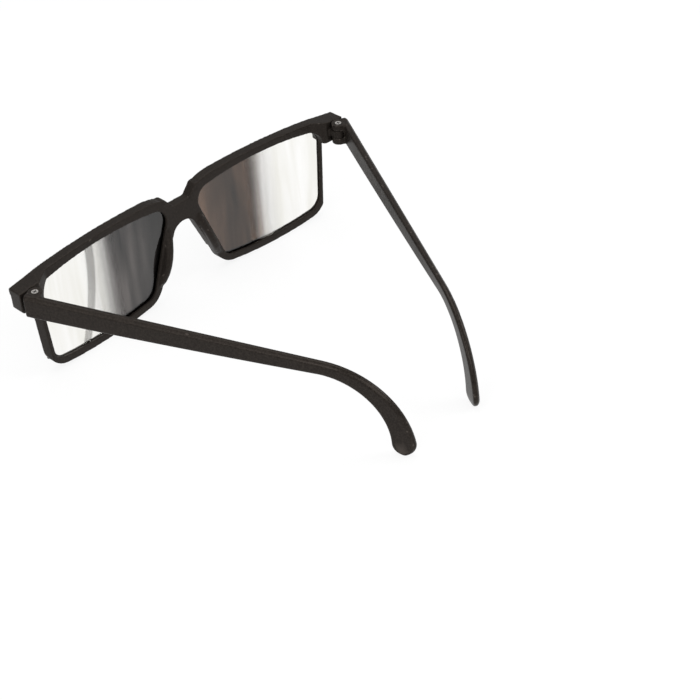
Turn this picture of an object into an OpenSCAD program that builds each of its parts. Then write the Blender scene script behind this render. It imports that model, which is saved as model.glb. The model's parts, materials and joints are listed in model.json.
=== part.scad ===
// Rear-view spectacles: a one-piece moulded front, two tinted lenses whose outer parts are mirror
// coated on the wearer's side, and two hooked temples that fold on screwed hinges.
// +X is the wearer's right, +Y points forward and +Z up. The part stands on its rims and its hooks.

/* [Front] */
// Width across the two end pieces
front_w = 140; // [134:1:150]
// How far the ends of the front fall back behind its middle
front_sag = 3.5; // [2:0.5:6]
// Thickness of the rims from front to back
rim_depth = 3.7; // [3.2:0.1:5]
// Width of the rims under the lenses
rim_w = 2.6; // [2.2:0.1:3.4]
// Width of the rims at their outer sides
side_w = 2.3; // [2:0.1:3.4]
// How much narrower the outer sides of the rims are at the back
side_draft = 1.1; // [0:0.1:1.4]
// Width of the rims at the nose
nose_w = 3.4; // [3:0.1:4]
// Rise of the brow over the middle of each lens
brow_arch = 1.6; // [0.5:0.1:3]
// How far the brow has dropped at its outer ends
brow_drop = 0.8; // [0:0.1:2]

/* [Bridge] */
// Width of the notch between the brows, at the top
notch_top_w = 13.2; // [11:0.2:16]
// Width of the notch at its floor
notch_floor_w = 6.8; // [4:0.2:9]
// Depth of the notch
notch_depth = 3.9; // [3:0.1:6]
// Depth of the bridge from the floor of the notch to the nose arch
bridge_h = 7.2; // [6:0.1:8]
// Radius of the nose arch
nose_r = 5.1; // [4:0.1:5.5]
// How far the nose pads stand behind the rims
pad_out = 2.8; // [1:0.1:3.2]
// How far the nose pads reach past the rims, towards the nose
pad_in = 0.5; // [0.2:0.1:1.2]
// Radius of the nose pads' rounded ridge
pad_r = 1.5; // [1.2:0.1:1.8]

/* [Lens openings] */
// Distance of the top inner corner from the middle of the bridge
lens_in = 5.2; // [5:0.1:6]
// Width of an opening along its top
lens_w = 56.2; // [52:0.1:57]
// How far the top inner corner lies below the brow line
lens_top = 3.3; // [3.1:0.1:4.5]
// How much lower the top outer corner lies
lens_top_fall = 0.3; // [0:0.1:2]
// Height of an opening at its corners
lens_h = 30.3; // [26:0.1:34]
// How far the nose side leans away from the nose
lens_lean = 11.2; // [9:0.1:12]
// How far the outer side leans inwards
lens_outer_lean = 1.9; // [0:0.1:3]
// Rise of the top edge's arch
lens_top_arch = 2.6; // [1:0.1:3]
// Drop of the bottom edge's arch
lens_bottom_arch = 1.8; // [1:0.1:3]
// Radius of the corners of an opening
lens_corner_r = 5; // [3:0.1:6]

/* [Lenses] */
// Thickness of a lens
lens_t = 1.6; // [1.2:0.1:2]
// How far a lens lies behind the front of its rim
lens_set = 0.9; // [0.6:0.1:1.2]
// How far a lens reaches into the groove of its rim
groove_depth = 0.9; // [0.6:0.1:1.2]
// Gap between a lens and its groove
lens_gap = 0.06; // [0.04:0.01:0.15]
// Thickness of the mirror film behind a lens
film_t = 0.12; // [0.1:0.01:0.2]
// Width of the mirror film, from the outer side of the lens
film_w = 33; // [20:1:40]

/* [End pieces and hinges] */
// Height of an end piece
end_h = 7.3; // [6.8:0.1:9]
// Depth of an end piece, from front to back
end_depth = 5.8; // [5:0.1:7]
// Radius of the fillet under an end piece
end_fillet_r = 4.5; // [2:0.5:5]
// Distance of a hinge's axis from the outer side of its end piece
hinge_in = 4.2; // [4:0.1:5]
// How far a hinge's axis lies behind the end piece
hinge_back = 2.3; // [2:0.1:3]
// Radius of the knuckles
knuckle_r = 2.5; // [2.4:0.1:3.2]
// Height of the front's middle knuckle
tongue_h = 2.5; // [2:0.1:3]
// Height of the temple's top knuckle
top_knuckle_h = 2.3; // [2:0.1:2.6]
// Running gap between the knuckles
knuckle_gap = 0.12; // [0.08:0.01:0.2]
// Radius of the hinge screw's shank
screw_r = 0.7; // [0.6:0.05:0.9]
// Running gap round the shank
screw_gap = 0.03; // [0.02:0.01:0.06]
// Radius of the screw's head
head_r = 1.1; // [1.05:0.05:1.6]
// Height of the screw's head
head_h = 0.8; // [0.6:0.05:1]
// Width of the cross recess in the head
cross_w = 0.34; // [0.26:0.02:0.5]
// Depth of the cross recess
cross_depth = 0.45; // [0.3:0.05:0.5]

/* [Temples] */
// Height of a temple at its hinged end
butt_h = 7.6; // [6.8:0.1:8]
// Height where the ear hook starts
bend_h = 4.5; // [4:0.1:6]
// Height of the paddle near the tip
tip_h = 7.6; // [5:0.1:9]
// Thickness at the hinged end
butt_t = 2.8; // [2.4:0.1:3.2]
// Thickness at the ear hook
hook_t = 2.3; // [2:0.1:2.8]
// How far a temple's top lies below the brow line
temple_drop = 0.5; // [0.3:0.1:2]
// Length of the straight part, from the hinge's axis
temple_l = 93; // [85:1:100]
// Radius of the ear hook, along its middle
hook_r = 27.2; // [24:0.2:32]
// Angle that the ear hook turns through
hook_angle = 79; // [60:1:90]
// How steeply an open temple falls towards the ear
temple_slope = 5.4; // [2:0.1:8]
// Radius of a temple's long edges
edge_r = 0.7; // [0.4:0.1:0.9]
// Width of the bevel along a temple's top, on its outer side
bevel_w = 0.95; // [0.5:0.05:1.2]

/* [Pose] */
// How far the left temple is folded in
left_fold = 27; // [0:1:27]
// How far the right temple is folded in
right_fold = 27; // [0:1:27]

/* [Hidden] */

// Segments in a large arc, a small round, and a round that a hull takes in
arc_fn = 1440;
round_fn = 48;
hull_fn = 24;
// Points in a rounded corner, pieces in an arched edge, and pieces in half the nose arch
corner_n = 8;
arch_n = 10;
nose_n = 12;
// Steps along a nose pad, and where it starts and ends along the nose side of the lens
pad_n = 8;
pad_from = 0.27;
pad_to = 0.97;

half_w = front_w / 2;
front_r = (half_w * half_w + front_sag * front_sag) / (2 * front_sag);
// Reach of the cuts and prisms past the part they shape
past = 1;
tall = 60;

end_x = half_w - hinge_in - knuckle_r - past;
end_bottom = -brow_drop - end_h;
hinge_x = half_w - hinge_in;
hinge_y = back_of(half_w, 0) - end_depth - hinge_back;
tongue_top = -temple_drop - top_knuckle_h - knuckle_gap;
tongue_bottom = tongue_top - tongue_h;
butt_gap = 0.1;
outer_v = hinge_in;

// y of the surface that lies a depth behind the curved front, at a distance x from the middle
function back_of(x, depth) = sqrt(pow(front_r - depth, 2) - x * x) - front_r;

function unit(v) = v / norm(v);

// Points along a straight edge that bulges by rise at its middle, without its ends
function arched(a, b, rise) =
    [for (i = [1:arch_n - 1]) let (t = i / arch_n) a + (b - a) * t + [0, rise * 4 * t * (1 - t)]];

// A corner p between the points a and b, rounded with radius r
function rounded(a, p, b, r) =
    let (u = unit(a - p), v = unit(b - p), half = acos(u * v) / 2, turn = 180 - 2 * half,
        c = p + unit(u + v) * r / sin(half), s = p + u * r / tan(half) - c, e = p + v * r / tan(half) - c)
    [for (i = [0:corner_n]) let (f = i / corner_n)
        c + (s * sin((1 - f) * turn) + e * sin(f * turn)) / sin(turn)];

// A closed outline, run anticlockwise, with each point moved outwards by its own width
function widened(points, widths) =
    let (n = len(points))
    [for (i = [0:n - 1]) let (p = points[i], u = unit(p - points[(i + n - 1) % n]),
        v = unit(points[(i + 1) % n] - p), m = [u.y, -u.x], k = [v.y, -v.x])
        p + (m + k) * widths[i] / (1 + m * k)];

function grown(points, d) = widened(points, [for (p = points) d]);

// A value that eases from a to b while x goes from x0 to x1
function eased(x, x0, x1, a, b) =
    let (t = min(1, max(0, (x - x0) / (x1 - x0)))) a + (b - a) * t * t * (3 - 2 * t);

// The right lens opening, seen from behind, anticlockwise from its bottom inner corner
lens_corners = [
    [lens_in + lens_lean, -lens_top - lens_h],
    [lens_in + lens_w - lens_outer_lean, -lens_top - lens_h],
    [lens_in + lens_w, -lens_top - lens_top_fall],
    [lens_in, -lens_top]];
bottom_arc = arched(lens_corners[0], lens_corners[1], -lens_bottom_arch);
top_arc = arched(lens_corners[2], lens_corners[3], lens_top_arch);
// Points of an arched edge that its rounded corners take the place of
skip = 1;
function inside(points) = [for (i = [skip:len(points) - 1 - skip]) points[i]];
opening = concat(
    rounded(lens_corners[3], lens_corners[0], bottom_arc[skip], lens_corner_r),
    inside(bottom_arc),
    rounded(bottom_arc[len(bottom_arc) - 1 - skip], lens_corners[1], lens_corners[2], lens_corner_r),
    rounded(lens_corners[1], lens_corners[2], top_arc[skip], lens_corner_r),
    inside(top_arc),
    rounded(top_arc[len(top_arc) - 1 - skip], lens_corners[3], lens_corners[0], lens_corner_r));

// The rim's width goes from the nose's to the side's along the lens
nose_x = lens_in + lens_lean;
side_x = lens_in + lens_w - lens_outer_lean;
rim = widened(opening, [for (p = opening) p.x < (nose_x + side_x) / 2
    ? eased(p.x, nose_x - lens_corner_r / 2, nose_x, nose_w, rim_w)
    : eased(p.x, side_x - lens_corner_r, side_x, rim_w, side_w)]);

// The nose arch: its centre, the point where its side meets the rim, and how far round it starts
arch_c = [0, -notch_depth - bridge_h - nose_r];
nose_side = unit(lens_corners[0] - lens_corners[3]);
nose_foot = lens_corners[3] + nose_side * 0.85 * lens_h - [nose_w / -nose_side.y, 0];
foot_away = nose_foot - arch_c;
foot_turn = atan2(foot_away.y, foot_away.x) + acos(nose_r / norm(foot_away));

brow_in = notch_top_w / 2;
brow_r = 0.9;
brow_line = [for (i = [0:arch_n]) let (t = i / arch_n)
    [brow_in + (half_w - brow_in) * t, -brow_drop * t + brow_arch * 4 * t * (1 - t)]];
brow = concat(rounded([notch_floor_w / 2, -notch_depth], brow_line[0], brow_line[1], brow_r),
    [for (i = [1:arch_n]) brow_line[i]]);

// A flat outline in x and z, drawn through the whole depth of the front
module prism(depth = 30) {
    translate([0, past, 0]) rotate([90, 0, 0]) linear_extrude(depth) children();
}

// The curved slab between two depths behind the front surface
module slab(from, to) {
    translate([0, -front_r, -tall]) linear_extrude(2 * tall) intersection() {
        difference() {
            circle(r = front_r - from, $fn = arc_fn);
            circle(r = front_r - to, $fn = arc_fn);
        }
        translate([-half_w - past, front_r / 2]) square([front_w + 2 * past, front_r]);
    }
}

// Puts the wearer's right-hand piece on both sides
module both() {
    children();
    mirror([1, 0, 0]) children();
}

module left() {
    mirror([1, 0, 0]) children();
}

// Leans the spectacles forward until the rims and the hooks stand on the same plane
module standing() {
    translate([0, centre_y, stand_z]) rotate([-tilt, 0, 0]) children();
}

module brow_bar() {
    polygon(concat([[0, -notch_depth], [notch_floor_w / 2, -notch_depth]], brow,
        [[half_w, end_bottom + past / 2], [half_w - past / 2, end_bottom], [end_x, end_bottom],
        [end_x, -lens_top - past], [0, -lens_top - notch_depth]]));
}

// The solid between the two rims, down to where the sides of the nose arch meet them
module bridge() {
    arch = [for (i = [0:nose_n]) let (a = foot_turn + (90 - foot_turn) * i / nose_n)
        arch_c + nose_r * [cos(a), sin(a)]];
    polygon(concat([[0, -notch_depth], [nose_x, -notch_depth], [nose_x, nose_foot.y], nose_foot], arch));
}

module end_fillet() {
    difference() {
        translate([end_x - past, end_bottom - end_fillet_r]) square([end_fillet_r + 2 * past, end_fillet_r + past]);
        translate([lens_in + lens_w + side_w + end_fillet_r, end_bottom - end_fillet_r])
            circle(r = end_fillet_r, $fn = round_fn);
    }
}

module front_outline() {
    difference() {
        union() {
            polygon(rim);
            brow_bar();
            bridge();
            end_fillet();
        }
        polygon(opening);
    }
}

// The block behind each end of the brow, slanted on its inner side, that carries the hinge
module end_block() {
    back_y = hinge_y + hinge_back;
    slant = knuckle_r + hinge_back;
    difference() {
        intersection() {
            prism() front_outline();
            translate([0, 0, end_bottom]) linear_extrude(tall) polygon([
                [end_x - slant, back_of(end_x - slant, rim_depth) + past],
                [end_x - slant, back_of(end_x - slant, rim_depth)],
                [end_x, back_y], [half_w, back_y],
                [half_w, back_of(half_w, past / 2)]]);
        }
        translate([hinge_x, hinge_y, -tall / 2]) cylinder(r = knuckle_r + knuckle_gap, h = tall, $fn = round_fn);
    }
}

// The front's knuckle, which sits between the two knuckles of the temple
module tongue() {
    translate([hinge_x, hinge_y, tongue_bottom]) difference() {
        linear_extrude(tongue_h) union() {
            circle(r = knuckle_r, $fn = round_fn);
            translate([-knuckle_r, 0]) square([2 * knuckle_r, knuckle_r + past]);
        }
        translate([0, 0, -past]) cylinder(r = screw_r + screw_gap, h = tongue_h + 2 * past, $fn = round_fn);
    }
}

// The moulded pad along the nose side of a rim: a long round ridge that slopes away towards the lens
module nose_pad() {
    slope_r = 0.4;
    sunk = slope_r / 2;
    hull() {
        for (i = [0:pad_n]) {
            rise = pow(sin(180 * pow(i / pad_n, 1.25)), 0.7);
            along = (pad_from + (pad_to - pad_from) * i / pad_n) * lens_h;
            foot = lens_corners[3] + nose_side * along - [nose_w - pad_r + pad_in * rise, 0];
            translate([foot.x, back_of(foot.x, rim_depth) + pad_r + sunk - rise * (pad_out + sunk), foot.y])
                sphere(r = pad_r, $fn = hull_fn);
            edge = foot + [nose_w - pad_r - 2 * slope_r, 0];
            translate([edge.x, back_of(edge.x, rim_depth) + slope_r + sunk, edge.y])
                sphere(r = slope_r, $fn = hull_fn / 2);
        }
    }
}

// The draft on the outer side of a rim, which narrows it towards the back
module side_wedge() {
    top = [lens_in + lens_w + side_w, -lens_top - lens_top_fall];
    lean = atan(lens_outer_lean / lens_h);
    turn = atan(side_draft / rim_depth);
    translate([top.x, back_of(top.x, 0), top.y]) rotate([0, lean, 0]) rotate([0, 0, -turn])
        translate([0, -tall, -tall]) cube([tall, 2 * tall, tall + past]);
}

module lens_prism(edge) {
    prism() polygon(grown(opening, edge));
}

module front_half() {
    difference() {
        union() {
            difference() {
                intersection() {
                    prism() front_outline();
                    slab(0, rim_depth);
                }
                side_wedge();
            }
            end_block();
            nose_pad();
        }
        intersection() {
            lens_prism(groove_depth);
            slab(lens_set, lens_set + lens_t + 2 * lens_gap);
        }
    }
    tongue();
}

module front_frame() {
    color("#262321") standing() both() front_half();
}

module lens() {
    color("#4b4a48", 0.6) intersection() {
        lens_prism(groove_depth - lens_gap);
        slab(lens_set + lens_gap, lens_set + lens_gap + lens_t);
    }
}

// The vacuum-deposited mirror on the outer part of a lens, on the wearer's side
module mirror_film() {
    lens_back = lens_set + lens_gap + lens_t;
    color("#d9dadb") intersection() {
        prism() intersection() {
            polygon(grown(opening, -2 * lens_gap));
            translate([lens_in + lens_w - film_w, -tall]) square([film_w, 2 * tall]);
        }
        slab(lens_back + lens_gap / 3, lens_back + lens_gap / 3 + film_t);
    }
}

// One cross-section of a temple, a rounded rectangle with a bevel at its top outer corner
function section(w, h) =
    let (r = min(edge_r, h / 2.2, w / 2.2), c = min(bevel_w, h / 3, w / 2.5), k = r / 3, low = k * tan(22.5))
    concat(
        [for (i = [0:2]) [w / 2 - k, h / 2 - c - low] + k * [cos(22.5 * i), sin(22.5 * i)]],
        [for (i = [2:4]) [w / 2 - c - low, h / 2 - k] + k * [cos(22.5 * i), sin(22.5 * i)]],
        [for (q = [1:3], i = [0:3]) let (a = 90 * q + 30 * i)
            [(w / 2 - r) * (q == 3 ? 1 : -1) + r * cos(a), (h / 2 - r) * (q < 2 ? 1 : -1) + r * sin(a)]]);

// Stations of a temple: [distance back, height of the middle, angle below level, thickness, height]
straight_n = 11;
hook_n = 22;
straight = [for (i = [0:straight_n]) let (u = -hinge_back - past + (temple_l + hinge_back + past) * i / straight_n,
    t = max(0, u) / temple_l, h = butt_h - (butt_h - bend_h) * pow(t, 1.5))
    [u, -h / 2, 0, butt_t + (hook_t - butt_t) * t, h]];
hook = [for (i = [1:hook_n]) let (t = i / hook_n, a = hook_angle * t)
    [temple_l + hook_r * sin(a), -bend_h / 2 - hook_r * (1 - cos(a)), a, hook_t,
    bend_h + (tip_h - bend_h) * pow(t, 1.5)]];
tip = [for (b = [16, 32, 46, 58, 69, 78, 86]) let (last = hook[hook_n - 1], go = tip_h / 2 * sin(b))
    [last[0] + go * cos(hook_angle), last[1] - go * sin(hook_angle), hook_angle,
    hook_t * (0.6 + 0.4 * cos(b)), tip_h * cos(b)]];
stations = concat(straight, hook, tip);

// How far behind and above the hinge an edge of a station lies on the open temple
function edge_at(s, side) =
    let (u = s[0] + side * s[4] / 2 * sin(s[2]), z = s[1] + side * s[4] / 2 * cos(s[2]))
    [u * cos(temple_slope) + z * sin(temple_slope), z * cos(temple_slope) - u * sin(temple_slope)];

// The tilt that brings the rims and the hooks onto one plane, and the height and middle of the whole
edges = [for (s = stations, side = [-1, 1]) edge_at(s, side)];
hook_z = min([for (e = edges) e.y]);
hook_back = [for (e = edges) if (e.y == hook_z) e.x][0];
rim_z = -lens_top - lens_h - lens_bottom_arch - rim_w;
rim_y = back_of((nose_x + side_x) / 2, 0);
tilt = atan((rim_z + temple_drop - hook_z) / (rim_y - hinge_y + hook_back * cos(left_fold)));
stand_z = -rim_z * cos(tilt) + rim_y * sin(tilt);
rearmost = max([for (e = edges) e.x]);
rearmost_z = [for (e = edges) if (e.x == rearmost) e.y][0] - temple_drop;
rear_y = (hinge_y - rearmost * cos(left_fold) - (outer_v - bevel_w) * sin(left_fold)) * cos(tilt) + rearmost_z * sin(tilt);
centre_y = -rear_y / 2;

// The arm and hook of the right temple, in the hinge's own frame with the temple open
module arm() {
    rings = [for (s = stations) [for (p = section(s[3], s[4]))
        [outer_v - s[3] / 2 + p.x, -s[0] + p.y * -sin(s[2]), s[1] + p.y * cos(s[2])]]];
    n = len(rings[0]);
    last = len(rings) - 1;
    rotate([temple_slope, 0, 0]) polyhedron(
        points = [for (ring = rings, p = ring) p],
        faces = concat(
            [[for (i = [0:n - 1]) i]],
            [for (k = [0:last - 1], i = [0:n - 1]) let (j = (i + 1) % n) [k * n + i, (k + 1) * n + i, (k + 1) * n + j]],
            [for (k = [0:last - 1], i = [0:n - 1]) let (j = (i + 1) % n) [k * n + i, (k + 1) * n + j, k * n + j]],
            [[for (i = [n - 1:-1:0]) last * n + i]]));
}

module knuckles() {
    translate([0, 0, -butt_h]) linear_extrude(butt_h) union() {
        circle(r = knuckle_r, $fn = round_fn);
        translate([0, -knuckle_r]) square([outer_v - past, 2 * knuckle_r - (knuckle_r - hinge_back + butt_gap)]);
    }
}

module temple() {
    mid_z = tongue_bottom - knuckle_gap + temple_drop;
    mid_h = tongue_h + 2 * knuckle_gap;
    difference() {
        union() {
            // The butt is square to the open temple, and stops against the end piece
            difference() {
                arm();
                translate([-tall, hinge_back - butt_gap, -tall / 2]) cube([2 * tall, tall, tall]);
            }
            knuckles();
        }
        // Room for the front's knuckle, which turns between the temple's two
        translate([0, 0, mid_z]) cylinder(r = knuckle_r + knuckle_gap, h = mid_h, $fn = round_fn);
        translate([-knuckle_r - knuckle_gap, 0, mid_z]) cube([2 * (knuckle_r + knuckle_gap), tall, mid_h]);
        // The screw's hole and the seat of its head
        translate([0, 0, -butt_h - past]) cylinder(r = screw_r + screw_gap, h = butt_h + 2 * past, $fn = round_fn);
        translate([0, 0, -head_h - screw_gap]) cylinder(r = head_r + screw_gap, h = tall, $fn = round_fn);
    }
}

module hinge_screw() {
    color("#c9c6c2") difference() {
        union() {
            translate([0, 0, -butt_h + past / 2]) cylinder(r = screw_r, h = butt_h - past, $fn = round_fn);
            translate([0, 0, -head_h]) cylinder(r = head_r, h = head_h - past / 10, $fn = round_fn);
        }
        for (a = [0, 90]) {
            rotate([0, 0, a]) translate([-head_r * 0.7, -cross_w / 2, -cross_depth - past / 10])
                cube([head_r * 1.4, cross_w, cross_depth + past]);
        }
    }
}

// Hangs a right-hand piece on its hinge, folded in by an angle
module hinged(fold) {
    translate([hinge_x, hinge_y, -temple_drop]) rotate([0, 0, -fold]) children();
}

module left_lens() {
    standing() left() lens();
}

module right_lens() {
    standing() lens();
}

module left_mirror_film() {
    standing() left() mirror_film();
}

module right_mirror_film() {
    standing() mirror_film();
}

module left_temple() {
    color("#2b2725") standing() left() hinged(left_fold) temple();
}

module right_temple() {
    color("#2b2725") standing() hinged(right_fold) temple();
}

module left_hinge_screw() {
    standing() left() hinged(left_fold) hinge_screw();
}

module right_hinge_screw() {
    standing() hinged(right_fold) hinge_screw();
}

front_frame();
left_lens();
right_lens();
left_mirror_film();
right_mirror_film();
left_temple();
right_temple();
left_hinge_screw();
right_hinge_screw();
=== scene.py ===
# %% [markdown]
# # Spectacles that show what is behind
# A pair of moulded black spectacles stands on a white table, seen from the wearer's side. The front
# is one satin moulding, the temples are two more, and the tinted lenses carry a mirror coating on
# their outer parts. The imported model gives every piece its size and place. This script gives the
# pieces softened edges, true curves and finishes, and adds the camera, the table and the light.

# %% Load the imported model
import json
import math

import bmesh
import bpy
import numpy as np
from mathutils import Matrix, Vector


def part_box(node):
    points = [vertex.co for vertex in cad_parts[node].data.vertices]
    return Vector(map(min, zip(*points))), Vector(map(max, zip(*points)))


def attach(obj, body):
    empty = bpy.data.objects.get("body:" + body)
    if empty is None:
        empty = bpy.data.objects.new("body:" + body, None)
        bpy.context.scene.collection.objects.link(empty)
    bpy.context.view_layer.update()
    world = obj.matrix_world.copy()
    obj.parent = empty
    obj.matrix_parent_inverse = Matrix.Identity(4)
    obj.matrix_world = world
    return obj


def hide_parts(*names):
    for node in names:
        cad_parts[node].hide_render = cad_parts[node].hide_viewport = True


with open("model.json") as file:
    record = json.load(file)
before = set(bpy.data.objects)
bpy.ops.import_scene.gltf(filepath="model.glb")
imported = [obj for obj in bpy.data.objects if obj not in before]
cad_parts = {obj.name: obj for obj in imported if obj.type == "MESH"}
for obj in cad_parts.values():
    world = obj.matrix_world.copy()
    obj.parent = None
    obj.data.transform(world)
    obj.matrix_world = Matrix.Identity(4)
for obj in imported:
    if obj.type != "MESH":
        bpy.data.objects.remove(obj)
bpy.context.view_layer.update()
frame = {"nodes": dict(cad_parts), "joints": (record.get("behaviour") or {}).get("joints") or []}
nodes = frame["nodes"]
mm = 0.001

# %% [markdown]
# ## The front's own frame
# The spectacles lean forward a little, so that the rims and the ear hooks stand on the table. The
# front is easiest to think of upright: x to the wearer's right, y forward and z up, from the middle
# of the brow. Its lean and its place could be copied in as numbers. They are taken from one hinge
# instead, whose axis is a vertical of the front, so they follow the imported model.

# %% Find the front's frame from a hinge
hinge = next(j for j in frame["joints"] if j["name"] == "left_temple_fold")
hinge_in_front = Vector((-65.8, -11.6, -4.2)) * mm
up = Vector(hinge["axis"]).normalized()
lean = math.atan2(up.y, up.z)
turn = Matrix.Rotation(-lean, 3, "X")
origin = Vector(hinge["pos_m"]) - turn @ hinge_in_front


def placed(point):
    """A point of the upright front, in millimetres, at its place in the scene."""
    return origin + turn @ (Vector(point) * mm)


def in_front_frame(point):
    """A point of the scene, in millimetres of the upright front."""
    return turn.transposed() @ (point - origin) / mm


print("lean in degrees:", round(math.degrees(lean), 2), "origin in mm:", [round(v / mm, 2) for v in origin])

# %% [markdown]
# ## The camera
# The photograph is taken from behind the wearer's left shoulder, looking down at the hinges and
# through the lenses. A long lens keeps the frame's lines nearly parallel. The camera could be aimed
# by hand, but the place and the angles here were fitted to corners that show in the photograph. It
# comes first, because every later choice is judged through it.

# %% Place the camera
eye = (-291.9, -394.3, 295.3)
azimuth, elevation, roll = math.radians(42.87), math.radians(-37.0), math.radians(-4.31)
focal_length, sensor_width, nearest = 88.41, 36, 0.02
forward = Vector(
    (
        math.sin(azimuth) * math.cos(elevation),
        math.cos(azimuth) * math.cos(elevation),
        math.sin(elevation),
    )
)
level = Vector((math.cos(azimuth), -math.sin(azimuth), 0))
right = level * math.cos(roll) + level.cross(forward) * math.sin(roll)
camera_up = right.cross(forward)
axes = Matrix([turn @ right, turn @ camera_up, turn @ -forward]).transposed()
camera = bpy.data.objects.new("camera", bpy.data.cameras.new("camera"))
camera.data.lens = focal_length
camera.data.sensor_width = sensor_width
camera.data.clip_start = nearest
camera.matrix_world = Matrix.Translation(placed(eye)) @ axes.to_4x4()
bpy.context.scene.collection.objects.link(camera)
bpy.context.scene.camera = camera
print("camera at", [round(v, 4) for v in camera.location])

# %% [markdown]
# ## Shared effects
# Four effects turn up in more than one material: the fine grain that the tool leaves, the lighter
# edges, which are partly rubbed by hands and partly a painted edge highlight, the soft streaks, which
# paint reflections into a tint and into a coating's tone and also move a coating's border, and dust.
# Each could be drawn again in every material. Here each is a node group with named inputs, which is
# built once and placed with values of its own. A group only puts out values: the material decides what they
# do.


# %% Helpers that place and feed nodes
def add(tree, kind, place=(0, 0), **settings):
    node = tree.nodes.new(kind)
    node.location = place
    for key, value in settings.items():
        setattr(node, key, value)
    return node


def feed(tree, socket, value):
    """Links a socket where the value comes from a node, and otherwise sets it."""
    if isinstance(value, bpy.types.NodeSocket):
        tree.links.new(value, socket)
    else:
        socket.default_value = value


def math_node(tree, operation, a, b, place=(0, 0), c=0, clamp=False):
    node = add(tree, "ShaderNodeMath", place, operation=operation, use_clamp=clamp)
    for socket, value in zip(node.inputs, (a, b, c)):
        feed(tree, socket, value)
    return node.outputs[0]


def ramp(tree, value, start, end, low=0, high=1, place=(0, 0)):
    """A value that goes smoothly from low at start to high at end."""
    node = add(tree, "ShaderNodeMapRange", place, interpolation_type="SMOOTHSTEP")
    labels = ("Value", "From Min", "From Max", "To Min", "To Max")
    for label, setting in zip(labels, (value, start, end, low, high)):
        feed(tree, node.inputs[label], setting)
    return node.outputs[0]


def noise(tree, where, scale, detail, place=(0, 0), distortion=0):
    node = add(tree, "ShaderNodeTexNoise", place)
    labels = ("Vector", "Scale", "Detail", "Distortion")
    for label, setting in zip(labels, (where, scale, detail, distortion)):
        feed(tree, node.inputs[label], setting)
    return node.outputs[0]


def mixed(tree, first, second, factor, place=(0, 0)):
    """A colour that goes from the first to the second as the factor goes from 0 to 1."""
    node = add(tree, "ShaderNodeMix", place, data_type="RGBA")
    for label, setting in zip(("A", "B", "Factor"), (first, second, factor)):
        feed(tree, node.inputs[label], setting)
    return node.outputs["Result"]


# %% Helpers that read a piece's own coordinates
def spot_on_piece(tree, place=(0, 0)):
    return add(tree, "ShaderNodeTexCoord", place).outputs["Object"]


def coordinates(tree, place=(0, 0)):
    """The x, y and z of each point of a piece, in metres."""
    split = add(tree, "ShaderNodeSeparateXYZ", place)
    feed(tree, split.inputs[0], spot_on_piece(tree, (place[0] - 200, place[1])))
    return split.outputs["X"], split.outputs["Y"], split.outputs["Z"]


# %% Helpers that make and place groups
def make_group(name, inputs, outputs):
    """A node group with its named inputs and their usual values, and its named outputs."""
    group = bpy.data.node_groups.new(name, "ShaderNodeTree")
    for label, value in inputs.items():
        socket = group.interface.new_socket(label, in_out="INPUT", socket_type="NodeSocketFloat")
        socket.default_value = value
    for label in outputs:
        group.interface.new_socket(label, in_out="OUTPUT", socket_type="NodeSocketFloat")
    given = add(group, "NodeGroupInput", (-900, 0)).outputs
    made = add(group, "NodeGroupOutput", (400, 0)).inputs
    return group, given, made


def place_group(tree, group, place, **settings):
    """Places a group in a material. A setting's name is its input's, with _ for a space."""
    node = add(tree, "ShaderNodeGroup", place, node_tree=group)
    for name, value in settings.items():
        node.inputs[name.replace("_", " ")].default_value = value
    return node.outputs


# %% Moulded grain
grain, given, made = make_group("moulded grain", {"Grain size": 0.4, "Cloud size": 9.0}, ["Height", "Cloud"])
spot = spot_on_piece(grain, (-900, -300))
for label, size, detail, y in (("Height", "Grain size", 3, 100), ("Cloud", "Cloud size", 2, -200)):
    scale = math_node(grain, "DIVIDE", 1 / mm, given[size], (-500, y))
    feed(grain, made[label], noise(grain, spot, scale, detail, (-250, y)))
print("group", grain.name, "has", len(grain.nodes), "nodes")

# %% Worn edges, which also carry a painted edge highlight
worn_and_highlit, given, made = make_group("worn edges", {"Start": 0.53, "Full": 0.6}, ["Mask"])
bulge = add(worn_and_highlit, "ShaderNodeNewGeometry", (-600, -200)).outputs["Pointiness"]
feed(worn_and_highlit, made["Mask"], ramp(worn_and_highlit, bulge, given["Start"], given["Full"], place=(-200, 0)))
print("group", worn_and_highlit.name, "has", len(worn_and_highlit.nodes), "nodes")

# %% Soft streaks
streaks, given, made = make_group("soft streaks", {"Width": 3.0, "Length": 60.0, "Detail": 2.0}, ["Streak"])
streak_waviness = 0.5
x, _, z = coordinates(streaks, (-700, -200))
joined = add(streaks, "ShaderNodeCombineXYZ", (-250, 0))
for axis, value, size, y in (("X", x, "Width", 0), ("Z", z, "Length", -250)):
    in_mm = math_node(streaks, "MULTIPLY", value, 1 / mm, (-550, y))
    feed(streaks, joined.inputs[axis], math_node(streaks, "DIVIDE", in_mm, given[size], (-400, y)))
streak = noise(streaks, joined.outputs[0], 1, given["Detail"], (-50, 0), streak_waviness)
feed(streaks, made["Streak"], streak)
print("group", streaks.name, "has", len(streaks.nodes), "nodes")

# %% Dust specks
dust, given, made = make_group("dust specks", {"Speck size": 0.22, "Threshold": 0.77}, ["Mask"])
speck_sharpness = 30
scale = math_node(dust, "DIVIDE", 1 / mm, given["Speck size"], (-500, 0))
cloud = noise(dust, spot_on_piece(dust, (-900, -300)), scale, 1, (-300, 0))
over = math_node(dust, "SUBTRACT", cloud, given["Threshold"], (-50, 0))
feed(dust, made["Mask"], math_node(dust, "MULTIPLY", over, speck_sharpness, (150, 0), clamp=True))
print("group", dust.name, "has", len(dust.nodes), "nodes")
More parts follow.
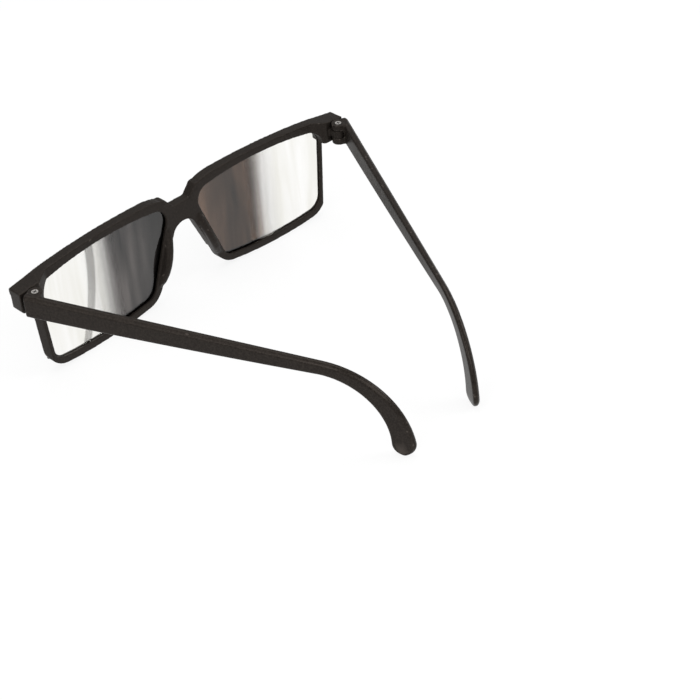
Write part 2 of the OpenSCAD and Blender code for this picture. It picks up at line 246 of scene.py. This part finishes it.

# %% [markdown]
# ## Satin black plastic
# The front and the temples are black plastic from a lightly textured tool. A plain black would look
# like a hole, and a picture of plastic would blur close up. So the colour is a very dark brown-grey,
# mottled by the same noise that lifts the grain, with a few specks and with lighter edges that are
# partly rubbed and partly a painted edge highlight. What one sees of such a black is mostly its gloss,
# which is weak and warm here.


# %% Mix the satin black
def new_material(name):
    material = bpy.data.materials.new(name)
    material.use_nodes = True
    return material, material.node_tree, material.node_tree.nodes["Principled BSDF"]


deep_black, cloudy_black = (0.0058, 0.0045, 0.0038, 1), (0.0105, 0.0082, 0.0068, 1)
# The lighter edge black is partly wear and partly a painted edge highlight
rubbed_and_highlit_black, dust_grey = (0.045, 0.038, 0.033, 1), (0.06, 0.057, 0.053, 1)
gloss, warm_gloss = 0.17, (1, 0.87, 0.78, 1)
plastic_grain, grain_height, grain_strength = 0.55, 0.045, 0.6
mottle_contrast, mottle_start = 3.6, -1.35
cloud_swing, rubbed_gloss = 0.12, 0.1
hook_from, hook_full = -15, -45


def satin_black(name, roughness, grain_tips, polish=0):
    material, tree, skin = new_material(name)
    height, cloud = place_group(tree, grain, (-1100, 0), Grain_size=plastic_grain)
    edges = place_group(tree, worn_and_highlit, (-1100, -300))["Mask"]
    specks = place_group(tree, dust, (-1100, 300))["Mask"]
    mottled = math_node(tree, "MULTIPLY_ADD", height, mottle_contrast, (-900, 150), mottle_start, clamp=True)
    tone = deep_black
    # The edge layer lightens the colour: partly wear, partly a painted edge highlight
    layers = ((cloud, cloudy_black), (mottled, grain_tips), (edges, rubbed_and_highlit_black), (specks, dust_grey))
    for mask, colour in layers:
        tone = mixed(tree, tone, colour, mask, (-700, 300))
    feed(tree, skin.inputs["Base Color"], tone)
    satin = math_node(tree, "MULTIPLY_ADD", cloud, cloud_swing, (-500, -100), roughness - cloud_swing / 2)
    edge_polish_and_unshaded = math_node(tree, "MULTIPLY", edges, rubbed_gloss, (-500, -300))
    satin = math_node(tree, "SUBTRACT", satin, edge_polish_and_unshaded, (-250, -150))
    if polish:
        # Hands and ears polish the hooks, which lie behind the rest of the temples
        _, y, _ = coordinates(tree, (-900, -600))
        handled = ramp(tree, y, hook_from * mm, hook_full * mm, 0, polish, (-700, -600))
        satin = math_node(tree, "SUBTRACT", satin, handled, (-150, -150))
    feed(tree, skin.inputs["Roughness"], satin)
    bump = add(tree, "ShaderNodeBump", (-250, -400))
    bump.inputs["Strength"].default_value = grain_strength
    bump.inputs["Distance"].default_value = grain_height * mm
    feed(tree, bump.inputs["Height"], height)
    feed(tree, skin.inputs["Normal"], bump.outputs[0])
    skin.inputs["Specular IOR Level"].default_value = gloss
    skin.inputs["Specular Tint"].default_value = warm_gloss
    return material


front_tips, temple_tips = (0.0155, 0.0127, 0.0105, 1), (0.019, 0.0156, 0.013, 1)
frame_black = satin_black("satin black moulding", roughness=0.46, grain_tips=front_tips)
temple_black = satin_black("satin black temple", roughness=0.43, grain_tips=temple_tips, polish=0.17)
print("plastics:", frame_black.name, "and", temple_black.name)

# %% [markdown]
# ## The smoke tint
# Such lenses are clear plastic with a dye in it: the left one looks grey and the right one has a
# brown cast. One glass colour would make them flat. So a ramp gives the tint at each x of the front, for
# both lenses in one material, and its lighter and darker stops paint the light and shade seen in the
# lenses into it. Two layers of streaks vary it, and they are painted reflections.

# %% Course of the tint, with its painted light and shade, over both lenses
# Each stop is a place in millimetres, a share of its colour, and the colour
grey, brown = (0.04, 0.035, 0.033), (0.066, 0.0395, 0.0255)
# The shares make each lens lighter and darker across x: painted light and shade over the dye
left_course = (
    (-40, 1.6, grey), (-30, 1.9, grey), (-22, 0.95, grey), (-14, 0.15, grey), (-5, 0.1, grey),
)
right_course = (
    (5, 1.2, brown), (12, 0.95, brown), (17, 0.55, brown), (22, 0.1, brown), (28, 1.0, brown),
    (36, 1.5, brown),
)
course_end = 64
tint, tree, skin = new_material("smoke tinted lens")
x, _, _ = coordinates(tree, (-1100, 0))
across = add(tree, "ShaderNodeMapRange", (-900, 0))
across.inputs["From Min"].default_value = -course_end * mm
across.inputs["From Max"].default_value = course_end * mm
feed(tree, across.inputs["Value"], x)
painted_light_tint = add(tree, "ShaderNodeValToRGB", (-700, 0))
painted_light_tint.color_ramp.interpolation = "B_SPLINE"
stops = painted_light_tint.color_ramp.elements
stops.remove(stops[1])
for index, (spot_x, share, colour) in enumerate(left_course + right_course):
    position = (spot_x + course_end) / (2 * course_end)
    stop = stops.new(position) if index else stops[0]
    stop.position = position
    stop.color = [share * value for value in colour] + [1]
feed(tree, painted_light_tint.inputs["Fac"], across.outputs[0])
print("tint has", len(stops), "stops")

# %% Painted reflection streaks and glass of the lenses
# Each layer of painted reflection streaks has a width and a length in millimetres, and how far it swings the
# tint
broad, fine = (6.0, 45.0, 2.4), (1.9, 60.0, 0.8)
least_tint = 0.1
lens_roughness, lens_index = 0.02, 1.6
strength = 1
# Each layer of streaks paints reflections into the tint
for width, length, share in (broad, fine):
    streak = place_group(tree, streaks, (-700, 300), Width=width, Length=length)["Streak"]
    swing = math_node(tree, "MULTIPLY_ADD", streak, 2 * share, (-500, 300), 1 - share)
    swing = math_node(tree, "MAXIMUM", swing, least_tint, (-350, 300))
    strength = math_node(tree, "MULTIPLY", strength, swing, (-200, 200))
shaded = add(tree, "ShaderNodeVectorMath", (-150, 0), operation="SCALE")
feed(tree, shaded.inputs[0], painted_light_tint.outputs["Color"])
feed(tree, shaded.inputs["Scale"], strength)
feed(tree, skin.inputs["Base Color"], shaded.outputs[0])
skin.inputs["Roughness"].default_value = lens_roughness
skin.inputs["IOR"].default_value = lens_index
skin.inputs["Transmission Weight"].default_value = 1
print("lens:", tint.name)

# %% [markdown]
# ## The mirror coating
# The coating is metal that settled on the lens in a vacuum. It is full at the outer side of each lens
# and thins out towards the nose, where the wearer looks through bare tint. A mix of a mirror and a
# clear shader would do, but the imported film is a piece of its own. So the film is a metal whose alpha
# grows with the distance from the middle of the front. Streaks push that border to and fro, and it
# is nothing at the film's inner end, so that no hard edge shows there.

# %% The fading mirror
film_start, film_border = 28.4, 7
fade_start, fade_full = 27.4, 43.6
push, push_back = 4.5, 2.9
border_width, border_length, coating_roughness = 3.2, 120, 0.03
mirror, tree, skin = new_material("fading mirror coating")
skin.inputs["Metallic"].default_value = 1
skin.inputs["Roughness"].default_value = coating_roughness
x, _, z = coordinates(tree, (-1100, 0))
away = math_node(tree, "ABSOLUTE", x, 0, (-900, 0))
streak = place_group(tree, streaks, (-900, -300), Width=border_width, Length=border_length)["Streak"]
shift = math_node(tree, "MULTIPLY_ADD", streak, push * mm, (-700, -300), -push_back * mm)
shifted = math_node(tree, "ADD", away, shift, (-500, -150))
fade = ramp(tree, shifted, fade_start * mm, fade_full * mm, place=(-300, 0))
border = ramp(tree, away, film_start * mm, (film_start + film_border) * mm, place=(-300, -300))
alpha = math_node(tree, "MULTIPLY", fade, border, (-100, -150))
print("mirror fades in from", fade_start, "to", fade_full, "mm")

# %% [markdown]
# ## A painted reflection band and painted reflection streaks
# The left coating has a bowed, darker band, which is a painted reflection, and the metal of both is toned in
# places by painted reflection streaks. The band could be cut out of the film, but then its border would be
# hard. It is a dip in the same alpha instead, along a parabola. The streaks only tone the metal.

# %% The painted reflection band's dip and the metal's painted reflection streaks
# The band's dip lets the darker tint show through: a painted reflection
reflection_band_x, reflection_band_bow, reflection_band_half, reflection_band_soft, reflection_band_alpha = -38.9, 5.8, 1.7, 0.5, 0.3
clean_metal, reflection_toned_metal = (0.98, 0.975, 0.96, 1), (0.86, 0.85, 0.8, 1)
reflection_streak_width, reflection_streak_length, reflection_streak_contrast, reflection_streak_start = 5, 50, 2.2, -0.75
up_from_brow = math_node(tree, "SUBTRACT", z, origin.z, (-900, -600))
square = math_node(tree, "MULTIPLY", up_from_brow, up_from_brow, (-700, -600))
bowed = math_node(tree, "MULTIPLY_ADD", square, reflection_band_bow, (-500, -600), x)
from_line = math_node(tree, "SUBTRACT", bowed, reflection_band_x * mm, (-350, -600))
from_line = math_node(tree, "ABSOLUTE", from_line, 0, (-200, -600))
inside, outside = (reflection_band_half - reflection_band_soft) * mm, (reflection_band_half + reflection_band_soft) * mm
reflection_band = ramp(tree, from_line, inside, outside, reflection_band_alpha, 1, (0, -600))
feed(tree, skin.inputs["Alpha"], math_node(tree, "MULTIPLY", alpha, reflection_band, (150, -300)))
# These streaks tone the metal as painted reflections of the surroundings
reflection_streak = place_group(tree, streaks, (-500, 300), Width=reflection_streak_width, Length=reflection_streak_length)["Streak"]
reflection_tone = math_node(tree, "MULTIPLY_ADD", reflection_streak, reflection_streak_contrast, (-300, 300), reflection_streak_start, clamp=True)
feed(tree, skin.inputs["Base Color"], mixed(tree, clean_metal, reflection_toned_metal, reflection_tone, (-100, 300)))
print("mirror:", mirror.name)

# %% [markdown]
# ## Screw steel
# The screws are small plated steel screws with a cross recess. The recess and the sides of a head are
# painted dark as shade, and only the flat top keeps the bright steel. A mask by hand isn't needed for
# that: how far a point lies under the head's top says which of the two it is.

# %% Mix the screw steel
# The dark steel colour is painted shade for the recess and the sides of a head
bright_steel, painted_shade_steel = (0.8, 0.77, 0.73, 1), (0.035, 0.031, 0.028, 1)
dark_below, bright_above = 0.32, 0.1
smoothest_steel, scratch_depth, scratch_size = 0.16, 0.2, 0.15
head_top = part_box("left_hinge_screw")[1].z
steel, tree, skin = new_material("plated screw steel")
skin.inputs["Metallic"].default_value = 1
_, _, z = coordinates(tree, (-700, 300))
# Below the head's top the steel turns to the painted shade
edge_polish_and_unshaded = ramp(tree, z, head_top - dark_below * mm, head_top - bright_above * mm, place=(-500, 300))
feed(tree, skin.inputs["Base Color"], mixed(tree, painted_shade_steel, bright_steel, edge_polish_and_unshaded, (-250, 300)))
scratch = place_group(tree, grain, (-700, 0), Grain_size=scratch_size)["Height"]
roughness = math_node(tree, "MULTIPLY_ADD", scratch, scratch_depth, (-400, 0), smoothest_steel)
feed(tree, skin.inputs["Roughness"], roughness)
print("steel:", steel.name)

# %% [markdown]
# ## Moulded bodies
# A moulding has no knife edge: the tool is cut with small radii, and faces run into each other. The
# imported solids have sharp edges. Bevels are one way to soften them, but they fail where many short
# edges meet, as at the nose pads. Here each body is rebuilt as an even skin of small cells, and
# rounds of smoothing wear its edges round by the same radius everywhere. The grid of cells is turned
# against the body, because faces that lie along a grid come out with steps. At last the skin is
# thinned, which takes cells away where it is flat.


# %% Rebuild a node as a smooth moulding
turn_x, turn_y, turn_z = 0.55, 0.4, 0.65
grid_turn = (
    Matrix.Rotation(turn_x, 4, "X") @ Matrix.Rotation(turn_y, 4, "Y") @ Matrix.Rotation(turn_z, 4, "Z")
)
cell, seam_gap, rounds, smoothing, kept = 0.2, 0.001, 14, 0.5, 0.35


def free_copy(name, node):
    piece = nodes[node].copy()
    piece.data = nodes[node].data.copy()
    piece.name = name
    piece.parent = None
    bpy.context.scene.collection.objects.link(piece)
    return piece


def moulding(name, node, body, material, finish=None):
    piece = free_copy(name, node)
    if finish:
        finish(piece.data)
    # The skin is rebuilt at a thousand times its size, because such cells are past its lower limit
    piece.data.transform(grid_turn @ Matrix.Scale(1 / mm, 4))
    weld = piece.modifiers.new("weld", "WELD")
    weld.merge_threshold = seam_gap
    skin = piece.modifiers.new("skin", "REMESH")
    skin.mode = "VOXEL"
    skin.voxel_size = cell
    wear = piece.modifiers.new("wear", "SMOOTH")
    wear.factor = smoothing
    wear.iterations = rounds
    thin = piece.modifiers.new("thin", "DECIMATE")
    thin.ratio = kept
    dressed = bpy.data.meshes.new_from_object(piece.evaluated_get(bpy.context.evaluated_depsgraph_get()))
    piece.modifiers.clear()
    piece.data = dressed
    dressed.transform(Matrix.Scale(mm, 4) @ grid_turn.inverted())
    dressed.shade_smooth()
    dressed.materials.clear()
    dressed.materials.append(material)
    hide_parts(node)
    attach(piece, body)
    print(name, "has", len(dressed.polygons), "faces")


# %% [markdown]
# ## The gate mark and the brow's line
# Plastic enters the tool through a gate, and a little stub of it is left at the left rim's lower
# outer corner. It is a small leaning block that is added before the skin is rebuilt, so that the two
# grow together. The brow's top is one smooth arch from the notch to the end piece. The solid's line
# has two slight kinks, where the rims rise over it, so its points are moved up or down to the arch.


# %% Add the gate mark
gate_centre, gate_size, gate_lean = Vector((-60.3, -2.9, -33.0)), Vector((1.3, 0.9, 1.4)), 0.35


def gate_mark(mesh_data):
    mesh = bmesh.new()
    mesh.from_mesh(mesh_data)
    for v in bmesh.ops.create_cube(mesh, size=1)["verts"]:
        offset = Vector(size * part for size, part in zip(gate_size, v.co))
        offset.x += gate_lean * v.co.z
        v.co = placed(gate_centre + offset)
    mesh.to_mesh(mesh_data)
    mesh.free()


print("gate mark is", [round(v, 2) for v in gate_size], "mm")

# %% Ease the brow
front_radius = 701.75
brow_from, brow_to, brow_middle, brow_height, brow_bend = 10.5, 64, 29, 1.75, 0.00135
ease_in, ease_out = 3, 6
edge_search, brow_skin, face_slack, same_place = 0.9, 0.8, 0.05, 0.02


def ease_brow(mesh_data):
    """Draws the brow's top as one smooth arch from the notch to the end piece."""
    points = np.array([list(in_front_frame(v.co)) for v in mesh_data.vertices])
    arches = brow_height - brow_bend * (np.abs(points[:, 0]) - brow_middle) ** 2
    on_face = points[:, 1] > -face_slack - points[:, 0] ** 2 / (2 * front_radius)
    edge = points[on_face & (points[:, 2] > arches - edge_search)]
    reach = np.sort(np.unique(np.abs(edge[:, 0]).round(2)))
    tops = [edge[np.abs(np.abs(edge[:, 0]) - x) < same_place][:, 2].max() for x in reach]
    moved = 0
    for v, (x, y, z), arch in zip(mesh_data.vertices, points, arches):
        top = np.interp(abs(x), reach, tops)
        if brow_from < abs(x) < brow_to and z > top - brow_skin:
            share = min(1, (abs(x) - brow_from) / ease_in, (brow_to - abs(x)) / ease_out)
            v.co = placed((x, y, z + share * (arch - top)))
            moved += 1
    print("brow points eased:", moved)


def finish_front(mesh_data):
    ease_brow(mesh_data)
    gate_mark(mesh_data)


# %% Make the front and the temples
moulding("moulded_front", "front_frame", "front", frame_black, finish_front)
for side in ("left", "right"):
    moulding(f"moulded_{side}_temple", f"{side}_temple", f"{side}_temple_body", temple_black)

# %% [markdown]
# ## Lenses with a true curve
# A lens shows the slightest facet in its reflections, and the solids' curved faces are made of wide
# flat strips. Smooth shading alone would still bend the reflections at each strip. So each face is
# cut into narrow strips, every point is put back on the true cylinder, and the normals of the curved
# faces are set from the cylinder itself.

# %% Cut a curved sheet into narrow strips
strip = 0.6
weld_distance, cut_slack = 0.002, 0.001
curved_share = 0.9


def depth_at(point):
    """How far a point of the scene lies behind the front's curved face, in millimetres."""
    local = in_front_frame(point)
    return front_radius - math.hypot(local.x, local.y + front_radius)


def put_at_depth(point, depth):
    local = in_front_frame(point)
    local.y = math.sqrt((front_radius - depth) ** 2 - local.x**2) - front_radius
    return placed(local)


def cut_in_strips(mesh, low, high):
    x = low + strip * mm
    while x < high:
        parts = list(mesh.verts) + list(mesh.edges) + list(mesh.faces)
        plane = {"plane_co": (x, 0, 0), "plane_no": (1, 0, 0), "dist": cut_slack * mm}
        bmesh.ops.bisect_plane(mesh, geom=parts, **plane)
        x += strip * mm


# %% Set a sheet's normals from the cylinder
def cylinder_normals(mesh_data):
    normals = [None] * len(mesh_data.loops)
    for face in mesh_data.polygons:
        for corner in face.loop_indices:
            local = in_front_frame(mesh_data.vertices[mesh_data.loops[corner].vertex_index].co)
            outwards = turn @ Vector((local.x, local.y + front_radius, 0)).normalized()
            agreement = face.normal.dot(outwards)
            curved = abs(agreement) > curved_share
            normals[corner] = outwards * math.copysign(1, agreement) if curved else face.normal
    mesh_data.normals_split_custom_set(normals)


# %% Make the lenses and their coatings
def recurved(name, node, material):
    piece = free_copy(name, node)
    mesh = bmesh.new()
    mesh.from_mesh(piece.data)
    bmesh.ops.remove_doubles(mesh, verts=mesh.verts, dist=weld_distance * mm)
    low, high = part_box(node)
    cut_in_strips(mesh, low.x, high.x)
    depths = [depth_at(v.co) for v in mesh.verts]
    near, far = min(depths), max(depths)
    for v, depth in zip(mesh.verts, depths):
        v.co = put_at_depth(v.co, near if depth < (near + far) / 2 else far)
    mesh.to_mesh(piece.data)
    mesh.free()
    piece.data.shade_smooth()
    cylinder_normals(piece.data)
    piece.data.materials.clear()
    piece.data.materials.append(material)
    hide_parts(node)
    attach(piece, "front")
    print(name, "has", len(piece.data.polygons), "faces between depths", round(near, 2), "and", round(far, 2))


for side in ("left", "right"):
    recurved(side + "_tinted_lens", side + "_lens", tint)
    recurved(side + "_mirror_coating", side + "_mirror_film", mirror)

# %% [markdown]
# ## The screws
# A screw here is a head with a cross recess on a plain shank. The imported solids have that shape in
# full, so they stay as they are and only get the steel.

# %% Dress the screws
for side in ("left", "right"):
    screw = nodes[side + "_hinge_screw"]
    screw.data.materials.clear()
    screw.data.materials.append(steel)
print("screws dressed")

# %% [markdown]
# ## The table
# The photograph has a pure white ground. Light strong enough to burn a table out would burn out the
# mirrors too. So the table is a pale floor that is lit like any other, and for what the camera, the
# mirrors and the lenses see, most of it is replaced by plain white. The rest keeps a soft shadow.
# Away from the spectacles it is all white, so that no edge shows against the sky.

# %% The white table
half = 1.5
floor = bpy.data.objects.new("table", bpy.data.meshes.new("table"))
bpy.context.scene.collection.objects.link(floor)
corners = [(-half, -half, 0), (half, -half, 0), (half, half, 0), (-half, half, 0)]
floor.data.from_pydata(corners, [], [(0, 1, 2, 3)])
print("table", 2 * half, "m wide")

# %% The table's white
white_near, white_far = 0.85, 1
near_spectacles, far_from_them = 0.2, 0.6
pale, table_roughness = (0.86, 0.86, 0.86, 1), 0.9
white, tree, skin = new_material("white table")
skin.inputs["Base Color"].default_value = pale
skin.inputs["Roughness"].default_value = table_roughness
skin.inputs["Specular IOR Level"].default_value = 0
glow = add(tree, "ShaderNodeEmission", (0, -300))
glow.inputs["Strength"].default_value = 1
path = add(tree, "ShaderNodeLightPath", (-600, 300)).outputs
seen = math_node(tree, "MAXIMUM", path["Is Camera Ray"], path["Is Transmission Ray"], (-300, 300))
seen = math_node(tree, "MAXIMUM", seen, path["Is Glossy Ray"], (-150, 300))
distance = add(tree, "ShaderNodeVectorMath", (-400, 600), operation="LENGTH")
feed(tree, distance.inputs[0], spot_on_piece(tree, (-600, 600)))
share = ramp(
    tree, distance.outputs["Value"], near_spectacles, far_from_them, white_near, white_far, (-200, 600)
)
blend = add(tree, "ShaderNodeMixShader", (300, 0))
feed(tree, blend.inputs[0], math_node(tree, "MULTIPLY", seen, share, (0, 300)))
feed(tree, blend.inputs[1], skin.outputs[0])
feed(tree, blend.inputs[2], glow.outputs[0])
feed(tree, tree.nodes["Material Output"].inputs["Surface"], blend.outputs[0])
floor.data.materials.append(white)
print("table:", white.name)

# %% [markdown]
# ## The light
# The photograph's light is broad and soft, as in a white tent: no sharp highlight shows on the
# plastic. An even sky alone would leave it flat. So a dim sky fills in, and four large panels, one
# above and three around, give the faces their different tones. The sky is white to the camera.

# %% The sky
sky_light, sky_seen = 0.45, 1
world = bpy.data.worlds.new("studio")
bpy.context.scene.world = world
world.use_nodes = True
tree = world.node_tree
sky = tree.nodes["Background"]
sky.inputs["Color"].default_value = (1, 1, 1, 1)
path = add(tree, "ShaderNodeLightPath", (-900, 200)).outputs
seen = math_node(tree, "MAXIMUM", path["Is Camera Ray"], path["Is Transmission Ray"], (-600, 200))
strength = math_node(tree, "MULTIPLY_ADD", seen, sky_seen - sky_light, (-300, 200), sky_light)
feed(tree, sky.inputs["Strength"], strength)
print("sky gives", sky_light, "and shows", sky_seen)

# %% The soft panels
# Each panel has a place and a width in metres, and a power in watts
panels = {
    "top panel": ((0.1, 0.2, 1.0), 0.9, 5.5),
    "left panel": ((-0.9, -0.2, 0.6), 0.6, 4),
    "right panel": ((0.8, -0.6, 0.7), 0.6, 5.5),
    "near panel": ((-0.3, -0.9, 0.6), 0.6, 3),
}
for name, (place, size, power) in panels.items():
    light = bpy.data.lights.new(name, "AREA")
    light.shape = "SQUARE"
    light.size = size
    light.energy = power
    lamp = bpy.data.objects.new(name, light)
    lamp.location = place
    lamp.rotation_euler = (-Vector(place)).to_track_quat("-Z", "Y").to_euler()
    bpy.context.scene.collection.objects.link(lamp)
bpy.context.scene.view_settings.view_transform = "Standard"
print("lamps:", list(panels))
